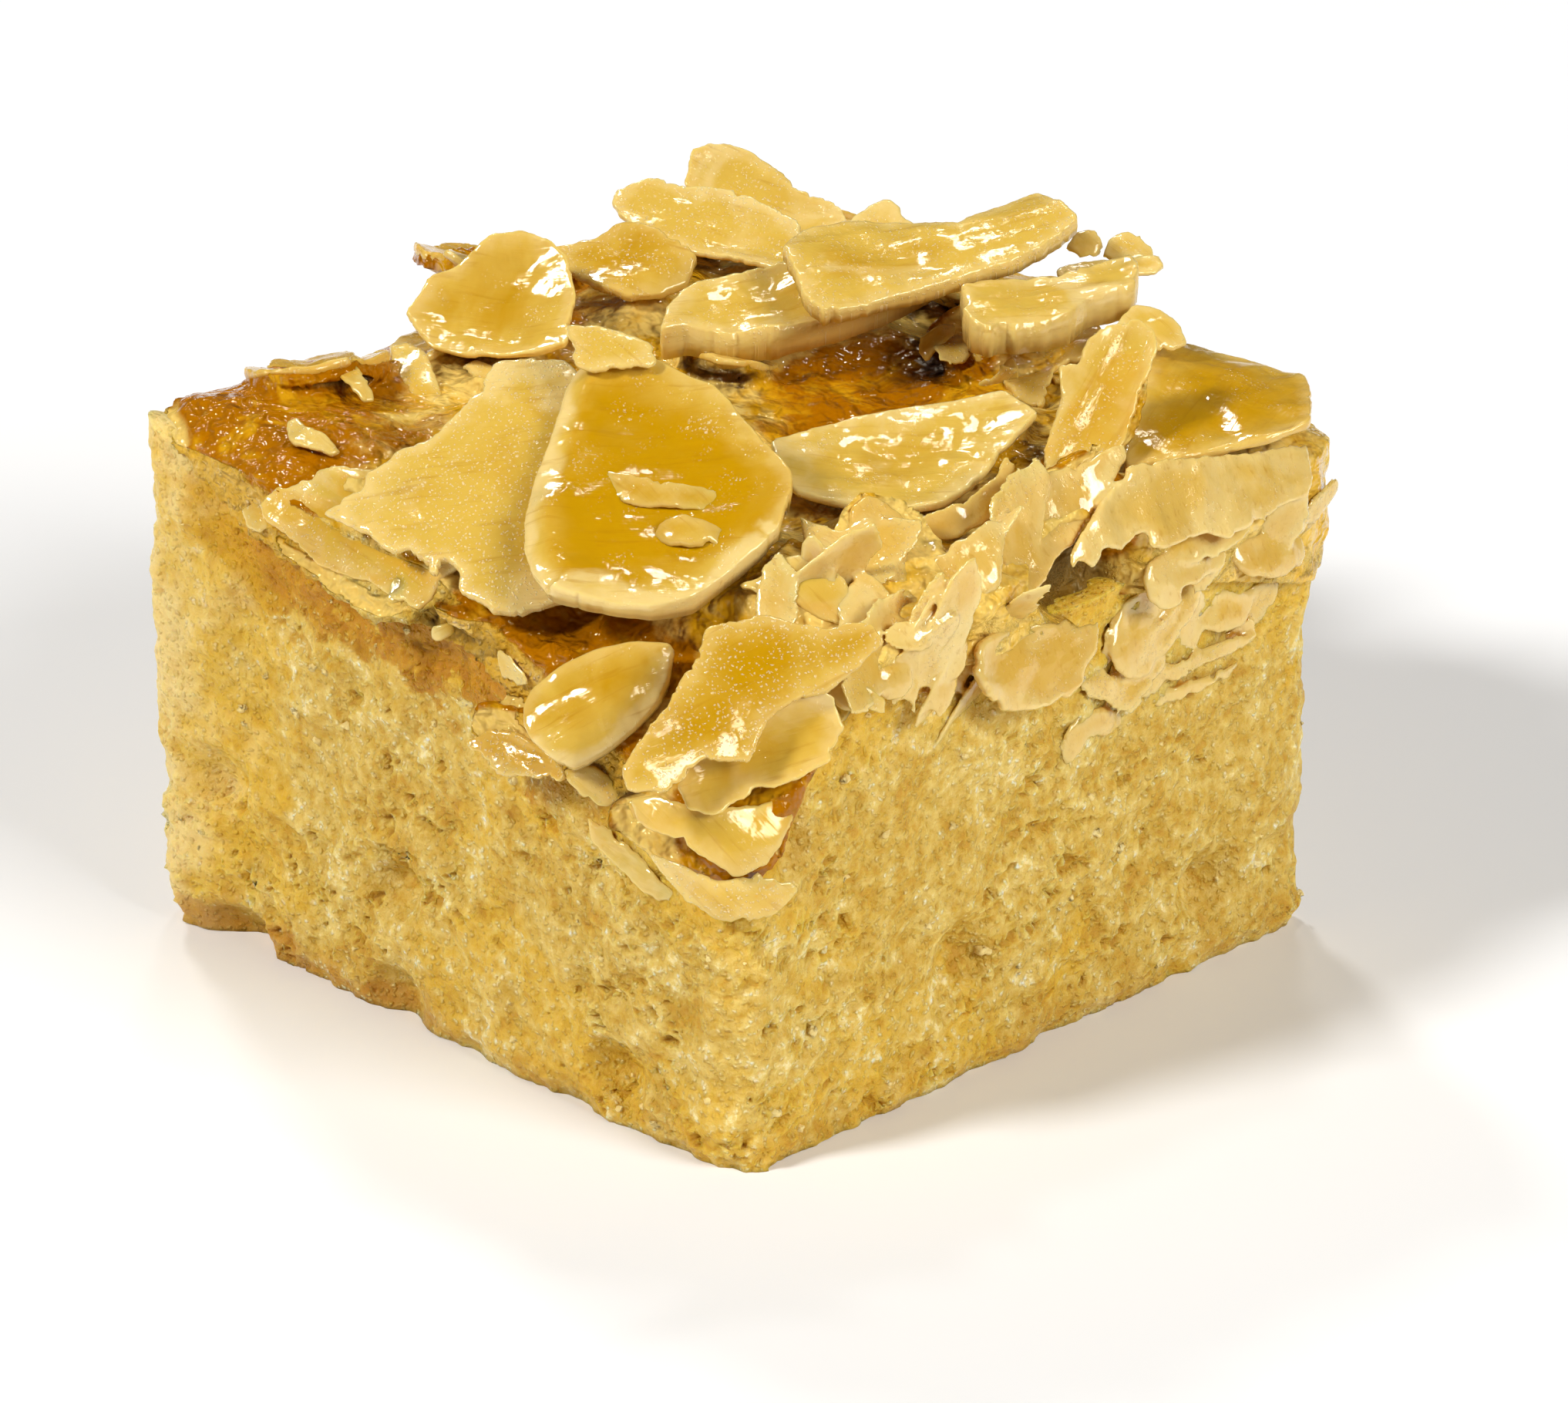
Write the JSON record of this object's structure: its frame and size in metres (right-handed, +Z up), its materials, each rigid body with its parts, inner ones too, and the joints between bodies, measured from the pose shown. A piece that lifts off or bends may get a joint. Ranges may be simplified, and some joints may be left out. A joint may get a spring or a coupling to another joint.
{
  "type": "tosca cake square",
  "caption": "Cut square of moist golden sponge with a thick, glossy caramel topping heaped with sliced almonds, slumped at one corner.",
  "frame": {"origin": "on the floor, under the middle of the whole cake's outline", "axes": "+Z up through the layers; X and Y along the cut sides; the slumped corner is at +X -Y"},
  "size_m": [0.0492, 0.049, 0.0355],
  "materials": {
    "sponge": "moist open crumb",
    "topping": "sticky, glossy",
    "almond": "glazed, waxy"
  },
  "bodies": {
    "root": {"sponge": "sponge", "tosca_topping": "topping", "slice_right_corner": "almond", "slice_left_front": "almond", "slice_middle": "almond", "slice_half_moon": "almond", "slice_left_rear": "almond", "slice_mid_rear": "almond", "slice_long_low": "almond", "slice_long_high": "almond", "slice_right_rear": "almond", "slice_pointed": "almond", "slice_summit": "almond", "slice_corner_lobe": "almond", "slice_corner_curl": "almond", "slice_corner_flag": "almond"}
  },
  "joints": []
}
